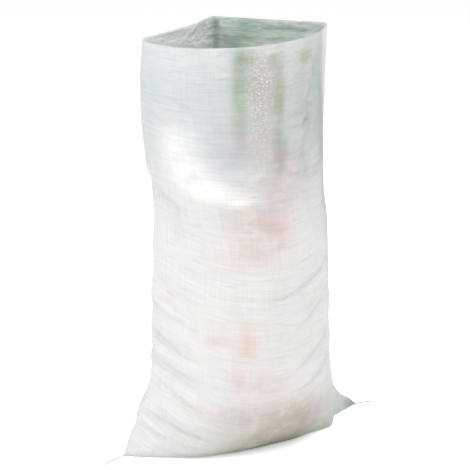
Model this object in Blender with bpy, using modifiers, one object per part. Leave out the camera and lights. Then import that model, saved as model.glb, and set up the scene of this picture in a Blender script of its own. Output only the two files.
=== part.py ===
"""Rubble sack: an open woven sack, standing, half filled with broken brick and concrete.

The origin is on the floor under the middle of the bottom seam. +X runs along that seam to the
right ear, -Y is the front and +Z is up. Lengths are in metres.
"""

import math
import random

import bmesh
import bpy
from mathutils import Matrix, Vector

# Driving dimensions
LAY_FLAT_WIDTH = 0.550
EAR_ROUNDING = 0.004
EAR_REACH = LAY_FLAT_WIDTH / 2 - EAR_ROUNDING
RIM_HEIGHT = 0.820
CLOTH = 0.0008
GAP = 0.0003
FILL_HEIGHT = 0.440
THREAD = 0.0012

# Resolution of the loft
AROUND = 48
EAR_CROWDING = 0.25

# Body sections: height, half width, half depth, squareness, share of the left ear's and of the
# right ear's full length that still stands out at that height
BODY_SECTIONS = (
    (0.000, 0.172, 0.090, 2.60, 1.00, 1.00),
    (0.015, 0.179, 0.106, 2.50, 0.87, 0.81),
    (0.040, 0.184, 0.125, 2.40, 0.72, 0.41),
    (0.080, 0.187, 0.143, 2.25, 0.54, 0.18),
    (0.130, 0.187, 0.155, 2.10, 0.35, 0.10),
    (0.190, 0.186, 0.163, 2.00, 0.18, 0.06),
    (0.270, 0.184, 0.166, 2.00, 0.10, 0.04),
    (0.400, 0.181, 0.168, 2.00, 0.08, 0.04),
)
EAR_LENGTH = EAR_REACH - BODY_SECTIONS[0][1]
BODY_DRIFT = -0.004

# Mouth outline, seen from above, from the right fold round by the back crease and the left fold
MOUTH_OUTLINE = (
    (0.178, 0.000),
    (0.142, 0.037),
    (0.104, 0.074),
    (0.060, 0.120),
    (0.016, 0.163),
    (-0.040, 0.114),
    (-0.095, 0.076),
    (-0.152, 0.040),
    (-0.209, 0.002),
    (-0.206, -0.062),
    (-0.176, -0.118),
    (-0.115, -0.150),
    (-0.045, -0.158),
    (0.030, -0.140),
    (0.094, -0.102),
    (0.146, -0.052),
)
MOUTH_STARTS = 0.400
LEFT_EAR_SPREAD = math.radians(31)
RIGHT_EAR_SPREAD = math.radians(20)

LEVELS = (
    0.000, 0.015, 0.040, 0.080, 0.130, 0.190, 0.270, 0.340, 0.400,
    0.460, 0.520, 0.580, 0.640, 0.700, 0.760, RIM_HEIGHT,
)

# Sewing thread: how far the seam stops short of each ear tip, and where each loose end lies,
# from its ear tip outwards
SEAM_STOPS = (0.025, 0.030)
SEAM_POINTS = 9
LEFT_TAIL = 0.047
LEFT_TAIL_ROUTE = ((0.0, 0.0), (-0.014, -0.004), (-0.030, -0.009), (-0.046, -0.017))
RIGHT_TAIL = 0.035
RIGHT_TAIL_ROUTE = ((0.0, 0.0), (0.012, 0.002), (0.024, -0.001), (0.035, -0.006))
TAIL_POINTS = 14
ROUTE_STEPS = 24

# Rubble: how many lumps of each radius, and the ranges that their shapes are drawn from
LUMP_SEED = 11
LUMP_SIZES = ((3, 0.038), (5, 0.031), (8, 0.024), (14, 0.0175))
LUMP_ROOM = 0.0015
WALL_ROOM = 0.006
FILL_RADIUS = 0.170
LUMP_TRIES = 6000
LUMP_ZONE = (0.00, 0.03, 0.06)
LUMP_REACH = 1.35
LUMP_NARROWING = (0.7, 1.0)
LUMP_HEIGHT = (1.05, 1.60)
LUMP_LEAN = (0.08, 0.32)
LUMP_TOP_CUTS = 3
LUMP_TOP_TILT = (0.9, 2.4)
LUMP_TOP_CUT = (0.10, 0.40)
BRICK_SHARE = 0.55

# Colours: base colour, roughness
FINISHES = {
    "woven_cloth": ((0.86, 0.87, 0.86), 0.42),
    "sewing_thread": ((0.62, 0.62, 0.60), 0.60),
    "broken_brick": ((0.47, 0.19, 0.12), 0.90),
    "broken_concrete": ((0.52, 0.51, 0.48), 0.92),
    "rubble_fines": ((0.43, 0.38, 0.33), 0.95),
}


def clear_scene():
    for thing in list(bpy.data.objects):
        bpy.data.objects.remove(thing, do_unlink=True)


def make_collection(name):
    collection = bpy.data.collections.new(name)
    bpy.context.scene.collection.children.link(collection)
    return collection


def make_material(name):
    colour, roughness = FINISHES[name]
    material = bpy.data.materials.new(name)
    material.use_nodes = True
    shader = material.node_tree.nodes["Principled BSDF"]
    shader.inputs["Base Color"].default_value = (*colour, 1.0)
    shader.inputs["Roughness"].default_value = roughness
    shader.inputs["Metallic"].default_value = 0.0
    return material


def add_object(name, mesh_or_curve, material, collection):
    thing = bpy.data.objects.new(name, mesh_or_curve)
    mesh_or_curve.materials.append(material)
    collection.objects.link(thing)
    return thing


def mesh_object(name, shape, material, collection, smooth_angle=None):
    mesh = bpy.data.meshes.new(name)
    shape.to_mesh(mesh)
    shape.free()
    if smooth_angle is not None:
        mesh.shade_smooth()
        mesh.set_sharp_from_angle(angle=math.radians(smooth_angle))
    return add_object(name, mesh, material, collection)


def blend(low, high, share):
    return low + (high - low) * share


def ease(share):
    share = min(max(share, 0.0), 1.0)
    return share * share * (3.0 - 2.0 * share)


def body_section(height):
    """The values of BODY_SECTIONS at a height, without the height itself."""
    for below, above in zip(BODY_SECTIONS, BODY_SECTIONS[1:]):
        if height <= above[0]:
            share = (height - below[0]) / (above[0] - below[0])
            return tuple(blend(a, b, share) for a, b in zip(below[1:], above[1:]))
    return BODY_SECTIONS[-1][1:]


def oval_radius(angle, half_width, half_depth, squareness):
    across = abs(math.cos(angle) / half_width) ** squareness
    along = abs(math.sin(angle) / half_depth) ** squareness
    return (across + along) ** (-1.0 / squareness)


def mouth_radius(angle):
    """The mouth's radius at an angle, on a smooth closed curve through the outline's points."""
    corners = sorted((math.atan2(y, x) % math.tau, math.hypot(x, y)) for x, y in MOUTH_OUTLINE)
    count = len(corners)
    angle = angle % math.tau
    index = max((i for i in range(count) if corners[i][0] <= angle + 1e-9), default=count - 1)
    before, here = corners[index - 1], corners[index]
    after, beyond = corners[(index + 1) % count], corners[(index + 2) % count]
    span = (after[0] - here[0]) % math.tau
    share = ((angle - here[0]) % math.tau) / span
    start_slope = (after[1] - before[1]) / ((after[0] - before[0]) % math.tau) * span
    end_slope = (beyond[1] - here[1]) / ((beyond[0] - here[0]) % math.tau) * span
    square = share * share
    cube = square * share
    return (
        (2 * cube - 3 * square + 1) * here[1]
        + (cube - 2 * square + share) * start_slope
        + (3 * square - 2 * cube) * after[1]
        + (cube - square) * end_slope
    )


def ear_shape(angle, ear_angle, spread):
    """1 at the ear's tip, falling to 0 at its root with hollow flanks."""
    turn = abs((angle - ear_angle + math.pi) % math.tau - math.pi)
    return max(0.0, 1.0 - turn / spread) ** 2


def loft_angles():
    """Angles round the sack, closer together at the two ears."""
    steps = (math.tau * i / AROUND for i in range(AROUND))
    return [step - EAR_CROWDING * math.sin(2.0 * step) for step in steps]


def wall_radius(angle, height, with_ears=True):
    half_width, half_depth, squareness, left_ear, right_ear = body_section(height)
    radius = oval_radius(angle, half_width, half_depth, squareness)
    if with_ears:
        radius += EAR_LENGTH * left_ear * ear_shape(angle, math.pi, LEFT_EAR_SPREAD)
        radius += EAR_LENGTH * right_ear * ear_shape(angle, 0.0, RIGHT_EAR_SPREAD)
    share = ease((height - MOUTH_STARTS) / (RIM_HEIGHT - MOUTH_STARTS))
    return blend(radius, mouth_radius(angle), share)


def wall_point(angle, height, inset=0.0, with_ears=True):
    radius = wall_radius(angle, height, with_ears) - inset
    mouth_share = ease((height - MOUTH_STARTS) / (RIM_HEIGHT - MOUTH_STARTS))
    drift = BODY_DRIFT * ease(height / MOUTH_STARTS) * (1.0 - mouth_share)
    return Vector((drift + radius * math.cos(angle), radius * math.sin(angle), height))


def loft(rings, closed_top):
    """A surface through rings of points, closed at the bottom and, if asked, at the top."""
    shape = bmesh.new()
    rows = [[shape.verts.new(point) for point in ring] for ring in rings]
    for low, high in zip(rows, rows[1:]):
        for i in range(len(low)):
            j = (i + 1) % len(low)
            shape.faces.new((low[i], low[j], high[j], high[i]))
    shape.faces.new(list(reversed(rows[0])))
    if closed_top:
        shape.faces.new(rows[-1])
    return shape


def make_sack(material, collection):
    rings = [[wall_point(angle, height) for angle in loft_angles()] for height in LEVELS]
    sack = mesh_object("woven_sack", loft(rings, closed_top=False), material, collection, 35)
    wall = sack.modifiers.new("cloth_thickness", "SOLIDIFY")
    wall.thickness = CLOTH
    wall.offset = -1.0
    wall.use_even_offset = True
    wall.use_quality_normals = True
    return sack


def make_core(material, collection):
    """The fill inside the cloth, flat on top, clear of the ears and of the seam thread."""
    inset = CLOTH + 4 * GAP
    floor = CLOTH + THREAD + 3 * GAP
    heights = [floor] + [height for height in LEVELS if floor < height < FILL_HEIGHT] + [FILL_HEIGHT]
    rings = [[wall_point(angle, h, inset, with_ears=False) for angle in loft_angles()] for h in heights]
    return mesh_object("rubble_core", loft(rings, closed_top=True), material, collection, 35)


def thread_curve(name, points, material, collection):
    curve = bpy.data.curves.new(name, "CURVE")
    curve.dimensions = "3D"
    curve.bevel_depth = THREAD / 2
    curve.bevel_resolution = 2
    curve.use_fill_caps = True
    line = curve.splines.new("POLY")
    line.points.add(len(points) - 1)
    for spot, point in zip(line.points, points):
        spot.co = (*point, 1.0)
    return add_object(name, curve, material, collection)


def smooth_route(points, count):
    """Evenly spaced points on a smooth curve through a few chosen ones."""
    padded = [points[0] * 2 - points[1]] + points + [points[-1] * 2 - points[-2]]
    fine = []
    for p0, p1, p2, p3 in zip(padded, padded[1:], padded[2:], padded[3:]):
        for step in range(ROUTE_STEPS):
            t = step / ROUTE_STEPS
            first = 2 * p1 + (p2 - p0) * t
            second = (2 * p0 - 5 * p1 + 4 * p2 - p3) * t**2
            third = (3 * p1 - p0 - 3 * p2 + p3) * t**3
            fine.append((first + second + third) / 2)
    fine.append(points[-1])
    travelled = [0.0]
    for a, b in zip(fine, fine[1:]):
        travelled.append(travelled[-1] + (b - a).length)
    route = []
    for k in range(count):
        wanted = travelled[-1] * k / (count - 1)
        i = min(max(n for n, t in enumerate(travelled) if t <= wanted + 1e-12), len(fine) - 2)
        share = (wanted - travelled[i]) / max(travelled[i + 1] - travelled[i], 1e-12)
        route.append(fine[i].lerp(fine[i + 1], min(share, 1.0)))
    return route


def cut_to_length(points, length):
    """Scales a route about its first point to its real length."""
    total = sum((b - a).length for a, b in zip(points, points[1:]))
    return [points[0] + (point - points[0]) * length / total for point in points]


def thread_tail(name, exit_x, route, length, material, collection):
    """A loose thread end, lying on the floor from its exit just past the ear tip."""
    points = [Vector((exit_x + x, y, GAP + THREAD / 2)) for x, y in route]
    points = cut_to_length(smooth_route(points, TAIL_POINTS), length)
    return thread_curve(name, points, material, collection)


def make_threads(material, collection):
    """The sewing thread along the bottom seam and its two loose ends beyond the ears."""
    height = CLOTH + GAP + THREAD / 2
    left_end, right_end = SEAM_STOPS[0] - EAR_REACH, EAR_REACH - SEAM_STOPS[1]
    shares = (i / (SEAM_POINTS - 1) for i in range(SEAM_POINTS))
    seam = [Vector((blend(left_end, right_end, share), 0.0, height)) for share in shares]
    thread_curve("bottom_seam_thread", seam, material, collection)
    exit_x = EAR_REACH + GAP
    thread_tail("thread_tail_left", -exit_x, LEFT_TAIL_ROUTE, LEFT_TAIL, material, collection)
    thread_tail("thread_tail_right", exit_x, RIGHT_TAIL_ROUTE, RIGHT_TAIL, material, collection)


def cloth_outline():
    """The cloth's plan beside the lumps: at each angle, its nearest point to the middle."""
    heights = [FILL_HEIGHT + above for above in LUMP_ZONE]
    return [
        min((wall_point(angle, height).to_2d() for height in heights), key=lambda spot: spot.length)
        for angle in loft_angles()
    ]


def place_lumps(rng, cloth):
    """Spots on the fill for lumps of each size, largest first, clear of each other and the cloth."""
    spots = []
    for count, radius in LUMP_SIZES:
        placed = 0
        for _ in range(LUMP_TRIES):
            if placed == count:
                break
            angle = rng.uniform(0.0, math.tau)
            reach = math.sqrt(rng.random()) * FILL_RADIUS
            spot = Vector((reach * math.cos(angle), reach * math.sin(angle)))
            crowded = any((spot - other).length < radius + size + LUMP_ROOM for other, size in spots)
            if not crowded and min((edge - spot).length for edge in cloth) > radius + WALL_ROOM:
                spots.append((spot, radius))
                placed += 1
    return spots


def cut_away(shape, point, normal):
    """Cuts off what lies beyond a plane and closes the cut."""
    geometry = shape.verts[:] + shape.edges[:] + shape.faces[:]
    cut = bmesh.ops.bisect_plane(
        shape, geom=geometry, plane_co=point, plane_no=normal, clear_outer=True
    )
    rim = [item for item in cut["geom_cut"] if isinstance(item, bmesh.types.BMEdge)]
    if rim:
        bmesh.ops.edgeloop_fill(shape, edges=rim)


def lump_shape(rng, spot, radius, others, cloth):
    """A broken block, flat underneath, that fills the room between its neighbours and the cloth."""
    side = 2.0 * LUMP_REACH * radius
    tall = radius * rng.uniform(*LUMP_HEIGHT)
    shape = bmesh.new()
    bmesh.ops.create_cube(shape, size=1.0)
    size = (side, side * rng.uniform(*LUMP_NARROWING), tall)
    bmesh.ops.scale(shape, vec=size, verts=shape.verts)
    bmesh.ops.translate(shape, vec=(0.0, 0.0, tall / 2), verts=shape.verts)
    turn = Matrix.Rotation(rng.uniform(0.0, math.tau), 4, "Z")
    bmesh.ops.transform(shape, matrix=turn, verts=shape.verts)
    for other, other_radius in others:
        apart = other - spot
        distance = apart.length
        share = (distance**2 + radius**2 - other_radius**2) / (2.0 * distance) - LUMP_ROOM / 2
        along = apart / distance
        cut_away(shape, (along * share).to_3d(), Vector((*along, rng.uniform(*LUMP_LEAN))))
    for edge in cloth:
        outward = edge.normalized()
        cut_away(shape, (edge - outward * WALL_ROOM - spot).to_3d(), outward.to_3d())
    for _ in range(LUMP_TOP_CUTS):
        angle = rng.uniform(0.0, math.tau)
        normal = Vector((math.cos(angle), math.sin(angle), rng.uniform(*LUMP_TOP_TILT))).normalized()
        corner = max(vert.co.dot(normal) for vert in shape.verts)
        cut_away(shape, normal * (corner - radius * rng.uniform(*LUMP_TOP_CUT)), normal)
    bmesh.ops.recalc_face_normals(shape, faces=shape.faces)
    return shape


def make_lumps(brick, concrete, collection):
    rng = random.Random(LUMP_SEED)
    cloth = cloth_outline()
    spots = place_lumps(rng, cloth)
    numbers = {"brick": 0, "concrete": 0}
    for spot, radius in spots:
        kind = "brick" if rng.random() < BRICK_SHARE else "concrete"
        numbers[kind] += 1
        others = [(other, size) for other, size in spots if other is not spot]
        shape = lump_shape(rng, spot, radius, others, cloth)
        name = f"{kind}_lump_{numbers[kind]:02d}"
        lump = mesh_object(name, shape, brick if kind == "brick" else concrete, collection)
        lump.location = (spot.x, spot.y, FILL_HEIGHT + GAP)


def main():
    clear_scene()
    collection = make_collection("rubble_sack")
    materials = {name: make_material(name) for name in FINISHES}
    make_sack(materials["woven_cloth"], collection)
    make_core(materials["rubble_fines"], collection)
    make_threads(materials["sewing_thread"], collection)
    make_lumps(materials["broken_brick"], materials["broken_concrete"], collection)


main()
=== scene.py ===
"""Rubble sack: the looks of a standing woven sack, half filled with broken brick and concrete.

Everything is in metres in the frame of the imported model. The cloth is one flat tube of woven
tape, folded up at the bottom, and it is simulated round the rubble at its real size.
"""

from __future__ import annotations

import logging
import math
import random
from dataclasses import dataclass, field
from enum import Enum

import bmesh
import bpy
import numpy as np
from mathutils import Euler, Matrix, Vector, noise
from mathutils.bvhtree import BVHTree


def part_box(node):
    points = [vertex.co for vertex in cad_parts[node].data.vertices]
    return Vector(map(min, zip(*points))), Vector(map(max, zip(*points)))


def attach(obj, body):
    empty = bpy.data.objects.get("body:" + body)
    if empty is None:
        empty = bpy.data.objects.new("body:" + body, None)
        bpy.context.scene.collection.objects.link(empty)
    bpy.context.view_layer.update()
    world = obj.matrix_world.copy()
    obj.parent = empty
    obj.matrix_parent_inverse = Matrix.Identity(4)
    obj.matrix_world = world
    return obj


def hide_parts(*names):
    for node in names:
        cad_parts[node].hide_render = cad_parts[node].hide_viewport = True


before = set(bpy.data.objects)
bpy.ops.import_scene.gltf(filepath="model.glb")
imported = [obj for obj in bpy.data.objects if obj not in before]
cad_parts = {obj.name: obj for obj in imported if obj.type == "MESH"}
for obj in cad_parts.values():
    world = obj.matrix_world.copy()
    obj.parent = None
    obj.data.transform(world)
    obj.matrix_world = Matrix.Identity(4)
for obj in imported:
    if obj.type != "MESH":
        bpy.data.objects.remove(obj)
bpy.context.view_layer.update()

log = logging.getLogger("rubble_sack")

Point = tuple[float, float, float]
Colour = tuple[float, float, float]


class Panel(Enum):
    """The two faces of the flat tube, by the side that each lies on."""

    FRONT = -1
    BACK = 1


class Rubble(Enum):
    """What a lump is a piece of, by the start of its node's name."""

    BRICK = "brick"
    CONCRETE = "concrete"


def clean_copy(node: str, name: str) -> bpy.types.Object:
    """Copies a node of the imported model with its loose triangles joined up.

    Args:
        node: The name of the node.
        name: The name of the copy.

    Returns:
        A new object with its own mesh.
    """
    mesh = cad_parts[node].data.copy()
    shape = bmesh.new()
    shape.from_mesh(mesh)
    bmesh.ops.remove_doubles(shape, verts=shape.verts, dist=1e-5)
    bmesh.ops.dissolve_limit(shape, angle_limit=math.radians(1), verts=shape.verts, edges=shape.edges)
    shape.to_mesh(mesh)
    shape.free()
    mesh.materials.clear()
    copy = bpy.data.objects.new(name, mesh)
    bpy.context.scene.collection.objects.link(copy)
    return copy


def activate(*things: bpy.types.Object) -> None:
    """Selects these objects alone and makes the first one active."""
    bpy.ops.object.select_all(action="DESELECT")
    for thing in things:
        thing.select_set(True)
    bpy.context.view_layer.objects.active = things[0]


def finish_with(thing: bpy.types.Object, kind: str, **settings: object) -> None:
    """Puts a modifier on an object and applies it.

    Args:
        thing: The object.
        kind: The modifier's type.
        settings: The modifier's own settings.
    """
    modifier = thing.modifiers.new(kind.lower(), kind)
    for name, value in settings.items():
        setattr(modifier, name, value)
    activate(thing)
    bpy.ops.object.modifier_apply(modifier=modifier.name)


def ease(share: float | np.ndarray) -> float | np.ndarray:
    """A smooth step from 0 to 1."""
    share = np.clip(share, 0.0, 1.0)
    return share * share * (3.0 - 2.0 * share)


def spaced(points: np.ndarray, count: int) -> np.ndarray:
    """Spreads points evenly along a polyline.

    Args:
        points: The polyline's points, one a row.
        count: How many points to spread.

    Returns:
        The new points, first and last at the polyline's ends.
    """
    steps = np.linalg.norm(np.diff(points, axis=0), axis=1)
    travelled = np.concatenate([[0.0], np.cumsum(steps)])
    wanted = np.linspace(0.0, travelled[-1], count)
    return np.stack([np.interp(wanted, travelled, column) for column in points.T], axis=1)


@dataclass(frozen=True)
class Sway:
    """How far the sack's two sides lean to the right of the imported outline, seen from the camera.

    Attributes:
        height: At which height.
        left: The left side's lean.
        right: The right side's lean.
    """

    height: float
    left: float
    right: float


SWAYS = (
    Sway(0.000, 0.000, 0.000),
    Sway(0.055, 0.000, -0.001),
    Sway(0.100, 0.005, -0.003),
    Sway(0.150, 0.007, -0.007),
    Sway(0.250, 0.003, -0.008),
    Sway(0.300, 0.001, -0.009),
    Sway(0.400, 0.004, -0.010),
    Sway(0.450, 0.003, -0.012),
    Sway(0.510, 0.002, -0.017),
    Sway(0.545, -0.001, -0.016),
    Sway(0.580, -0.008, -0.014),
    Sway(0.670, -0.009, -0.009),
    Sway(0.755, -0.006, -0.007),
    Sway(0.820, 0.000, -0.004),
)

PICTURE_RIGHT = (0.885, -0.465)


def lean(height: float, share: float | np.ndarray) -> np.ndarray:
    """How far the sack leans to the right in the picture, as a shift of the floor plane's points.

    Args:
        height: The height.
        share: How far each point is from the left side to the right one, from 0 to 1.

    Returns:
        The shift of each point.
    """
    levels = [sway.height for sway in SWAYS]
    left = np.interp(height, levels, [sway.left for sway in SWAYS])
    right = np.interp(height, levels, [sway.right for sway in SWAYS])
    return np.multiply.outer(left + share * (right - left), (*PICTURE_RIGHT, 0.0))


class Bench:
    """A material's node tree, with short ways to add nodes and join them up.

    Attributes:
        material: The material.
        shader: Its Principled shader.
    """

    def __init__(self, name: str) -> None:
        """Starts a material.

        Args:
            name: Its name.
        """
        self.material = bpy.data.materials.new(name)
        self.material.use_nodes = True
        self.nodes = self.material.node_tree.nodes
        self.shader = self.nodes["Principled BSDF"]

    def feed(self, socket: bpy.types.NodeSocket, value: object) -> None:
        """Joins a socket to another one, or sets its value."""
        if isinstance(value, bpy.types.NodeSocket):
            self.material.node_tree.links.new(value, socket)
        else:
            socket.default_value = value

    def add(self, kind: str, inputs: dict, out: int | str = 0, **settings: object) -> bpy.types.NodeSocket:
        """Adds a node.

        Args:
            kind: The node's type, without its prefix.
            inputs: What goes into its sockets, by name or number.
            out: The output that is wanted.
            settings: The node's own settings.

        Returns:
            The output socket.
        """
        node = self.nodes.new(f"ShaderNode{kind}")
        for name, value in settings.items():
            setattr(node, name, value)
        for name, value in inputs.items():
            self.feed(node.inputs[name], value)
        return node.outputs[out]

    def uv(self) -> bpy.types.NodeSocket:
        """The piece's own map, in metres of cloth."""
        return self.add("UVMap", {}, uv_map="cloth")

    def place(self) -> bpy.types.NodeSocket:
        """The place on the object, in metres."""
        return self.add("TexCoord", {}, out="Object")

    def stretched(self, vector: bpy.types.NodeSocket, scale: Point) -> bpy.types.NodeSocket:
        """Coordinates scaled along each axis."""
        return self.add("Mapping", {"Vector": vector, "Scale": scale})

    def grain(self, vector: bpy.types.NodeSocket, scale: float, detail: float = 3.0) -> bpy.types.NodeSocket:
        """Soft noise from 0 to 1."""
        return self.add("TexNoise", {"Vector": vector, "Scale": scale, "Detail": detail})

    def sum(self, kind: str, a: object, b: object) -> bpy.types.NodeSocket:
        """Works one sum on two numbers."""
        return self.add("Math", {0: a, 1: b}, operation=kind)

    def between(self, value: object, low: float, high: float, to: tuple[float, float]) -> bpy.types.NodeSocket:
        """Maps a range to another one, clamped at its ends."""
        inputs = {"Value": value, "From Min": low, "From Max": high, "To Min": to[0], "To Max": to[1]}
        return self.add("MapRange", inputs)

    def blend(self, share: object, first: object, second: object, kind: str = "MIX") -> bpy.types.NodeSocket:
        """Mixes two colours.

        Args:
            share: How much of the second one.
            first: A colour or a socket.
            second: Another.
            kind: The way to mix.

        Returns:
            The mixed colour.
        """
        inputs = {0: share, 6: self.full(first), 7: self.full(second)}
        return self.add("Mix", inputs, out=2, data_type="RGBA", blend_type=kind)

    @staticmethod
    def full(colour: object) -> object:
        """A colour with its fourth number, or the socket that was given."""
        return (*colour, 1.0) if isinstance(colour, tuple) else colour

    def let_through(self, colour: Colour, share: float) -> None:
        """Lets a share of the light through the surface."""
        glow = self.add("BsdfTranslucent", {"Color": self.full(colour)})
        mixed = self.add("MixShader", {0: share, 1: self.shader.outputs[0], 2: glow})
        self.feed(self.nodes["Material Output"].inputs["Surface"], mixed)

    def bump(self, height: bpy.types.NodeSocket, depth: float, strength: float = 1.0) -> None:
        """Raises the surface by a height from 0 to 1, times a depth in metres."""
        inputs = {"Height": height, "Distance": depth, "Strength": strength}
        self.feed(self.shader.inputs["Normal"], self.add("Bump", inputs))


@dataclass(frozen=True)
class WovenTape:
    """White woven polypropylene tape, satin, with dust and faint stains, painted glints, and the painted shade,
    highlights and reflections in its vertex tint.

    Attributes:
        colour: The clean tape.
        shadow: The thin places between tapes.
        fleck: The dirt that lies in specks.
        glint: The colour of the painted glints, bright sparkle on the tape between the specks.
        tape: The width of one tape.
        roughness: How dull its shine is.
    """

    colour: Colour = (0.868, 0.875, 0.876)
    shadow: Colour = (0.71, 0.733, 0.730)
    fleck: Colour = (0.42, 0.38, 0.34)
    glint: Colour = (0.93, 0.91, 0.86)
    tape: float = 0.0026
    roughness: float = 0.36

    def material(self) -> bpy.types.Material:
        """Makes the material."""
        bench = Bench("woven_cloth")
        uv = bench.uv()
        weave = self.weave(bench, uv)
        fine_rows = bench.grain(bench.stretched(uv, (16.0, 420.0, 1.0)), 1.0)
        wide_rows = bench.grain(bench.stretched(uv, (7.0, 130.0, 1.0)), 1.0)
        columns = bench.grain(bench.stretched(uv, (380.0, 12.0, 1.0)), 1.0)
        rows = bench.sum("ADD", bench.sum("MULTIPLY", fine_rows, 0.45), bench.sum("MULTIPLY", wide_rows, 0.25))
        streaks = bench.sum("ADD", rows, bench.sum("MULTIPLY", columns, 0.30))
        shade = bench.between(streaks, 0.36, 0.60, (0.0, 1.0))
        tape = bench.blend(shade, self.shadow, self.colour)
        # The vertex tint: real dust and dirt together with painted shade, painted highlights and painted
        # reflections.
        dirt_and_light_tint = bench.nodes.new("ShaderNodeAttribute")
        dirt_and_light_tint.attribute_name = "dirt_and_light_tint"
        dirty = bench.blend(1.0, tape, dirt_and_light_tint.outputs["Color"], "MULTIPLY")
        clouds = bench.add("TexNoise", {"Vector": uv, "Scale": 24.0, "Detail": 4.0}, out="Color")
        dirty = bench.blend(0.16, dirty, clouds, "OVERLAY")
        specks = bench.between(bench.grain(bench.stretched(uv, (1.5, 1.0, 1.0)), 150.0, 4.0),
                               0.47, 0.62, (0.0, 1.0))
        dusty = bench.sum("SUBTRACT", 1.0, dirt_and_light_tint.outputs["Alpha"])
        cover = bench.sum("MULTIPLY", specks, dusty)
        dirty = bench.blend(cover, dirty, self.fleck)
        # Painted glints: bright sparkle mixed into the base colour between the dust specks.
        glints = bench.between(bench.grain(bench.stretched(uv, (1.0, 2.2, 1.0)), 190.0, 4.0),
                               0.52, 0.66, (0.0, 1.6))
        bright = bench.sum("MULTIPLY", glints, dusty)
        bench.feed(bench.shader.inputs["Base Color"], bench.blend(bright, dirty, self.glint))
        bench.feed(bench.shader.inputs["Roughness"],
                   bench.between(streaks, 0.36, 0.60, (self.roughness + 0.10, self.roughness - 0.06)))
        relief = bench.sum("ADD", bench.sum("MULTIPLY", weave, 0.4), bench.sum("MULTIPLY", streaks, 2.5))
        crumple = bench.grain(bench.stretched(uv, (30.0, 55.0, 1.0)), 1.0, 4.0)
        relief = bench.sum("ADD", relief, bench.sum("MULTIPLY", crumple, 9.0))
        bench.bump(relief, 0.0011)
        bench.let_through(self.colour, 0.25)
        return bench.material

    def weave(self, bench: Bench, uv: bpy.types.NodeSocket) -> bpy.types.NodeSocket:
        """Tapes that pass over and under each other, from 0 to 1."""
        axes = bench.nodes.new("ShaderNodeSeparateXYZ")
        bench.feed(axes.inputs[0], uv)
        crowns = []
        for axis in (0, 1):
            turn = bench.sum("MULTIPLY", axes.outputs[axis], math.pi / self.tape)
            crowns.append(bench.sum("ABSOLUTE", bench.sum("SINE", turn, 0.0), 0.0))
        squares = bench.add("TexChecker", {"Vector": uv, "Scale": 1.0 / self.tape}, out="Fac")
        return bench.add("Mix", {0: squares, 2: crowns[0], 3: crowns[1]}, data_type="FLOAT")


@dataclass(frozen=True)
class BrokenStone:
    """A rough broken mineral, with grit in it and pale dust on what faces up.

    Attributes:
        name: The material's name.
        colour: The clean stone.
        second: The colour that it varies to.
        grit: The colour of the grains in it.
        grit_size: The size of those grains.
        dust: The colour of the dust.
    """

    name: str
    colour: Colour
    second: Colour
    grit: Colour
    grit_size: float
    dust: Colour

    def material(self) -> bpy.types.Material:
        """Makes the material."""
        bench = Bench(self.name)
        place = bench.place()
        patches = bench.between(bench.grain(place, 35.0), 0.35, 0.65, (0.0, 1.0))
        stone = bench.blend(patches, self.colour, self.second)
        cells = bench.add("TexVoronoi", {"Vector": place, "Scale": 1.0 / self.grit_size}, feature="F1")
        grains = bench.between(cells, 0.18, 0.32, (1.0, 0.0))
        kept = bench.between(bench.grain(place, 90.0), 0.48, 0.60, (0.0, 0.8))
        stone = bench.blend(bench.sum("MULTIPLY", grains, kept), stone, self.grit)
        axes = bench.nodes.new("ShaderNodeSeparateXYZ")
        bench.feed(axes.inputs[0], bench.add("NewGeometry", {}, out="Normal"))
        settled = bench.between(axes.outputs[2], 0.1, 1.0, (0.0, 0.6))
        cover = bench.sum("MULTIPLY", settled, bench.between(bench.grain(place, 60.0), 0.3, 0.65, (0.3, 1.0)))
        bench.feed(bench.shader.inputs["Base Color"], bench.blend(cover, stone, self.dust))
        bench.shader.inputs["Roughness"].default_value = 0.93
        rough = bench.sum("ADD", bench.grain(place, 400.0), bench.sum("MULTIPLY", grains, 0.4))
        bench.bump(rough, 0.0008)
        return bench.material


@dataclass(frozen=True)
class TwistedThread:
    """Grey-white sewing thread, with the turns of its plies."""

    colour: Colour = (0.17, 0.175, 0.17)
    shadow: Colour = (0.08, 0.08, 0.08)
    ply: float = 0.0009

    def material(self) -> bpy.types.Material:
        """Makes the material."""
        bench = Bench("sewing_thread")
        place = bench.place()
        turns = bench.add("TexWave", {"Vector": place, "Scale": 1.0 / self.ply, "Distortion": 1.5,
                                      "Detail": 2.0}, out="Fac", bands_direction="DIAGONAL")
        bench.feed(bench.shader.inputs["Base Color"], bench.blend(turns, self.shadow, self.colour))
        bench.shader.inputs["Roughness"].default_value = 0.7
        bench.bump(turns, 0.0002)
        return bench.material


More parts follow.
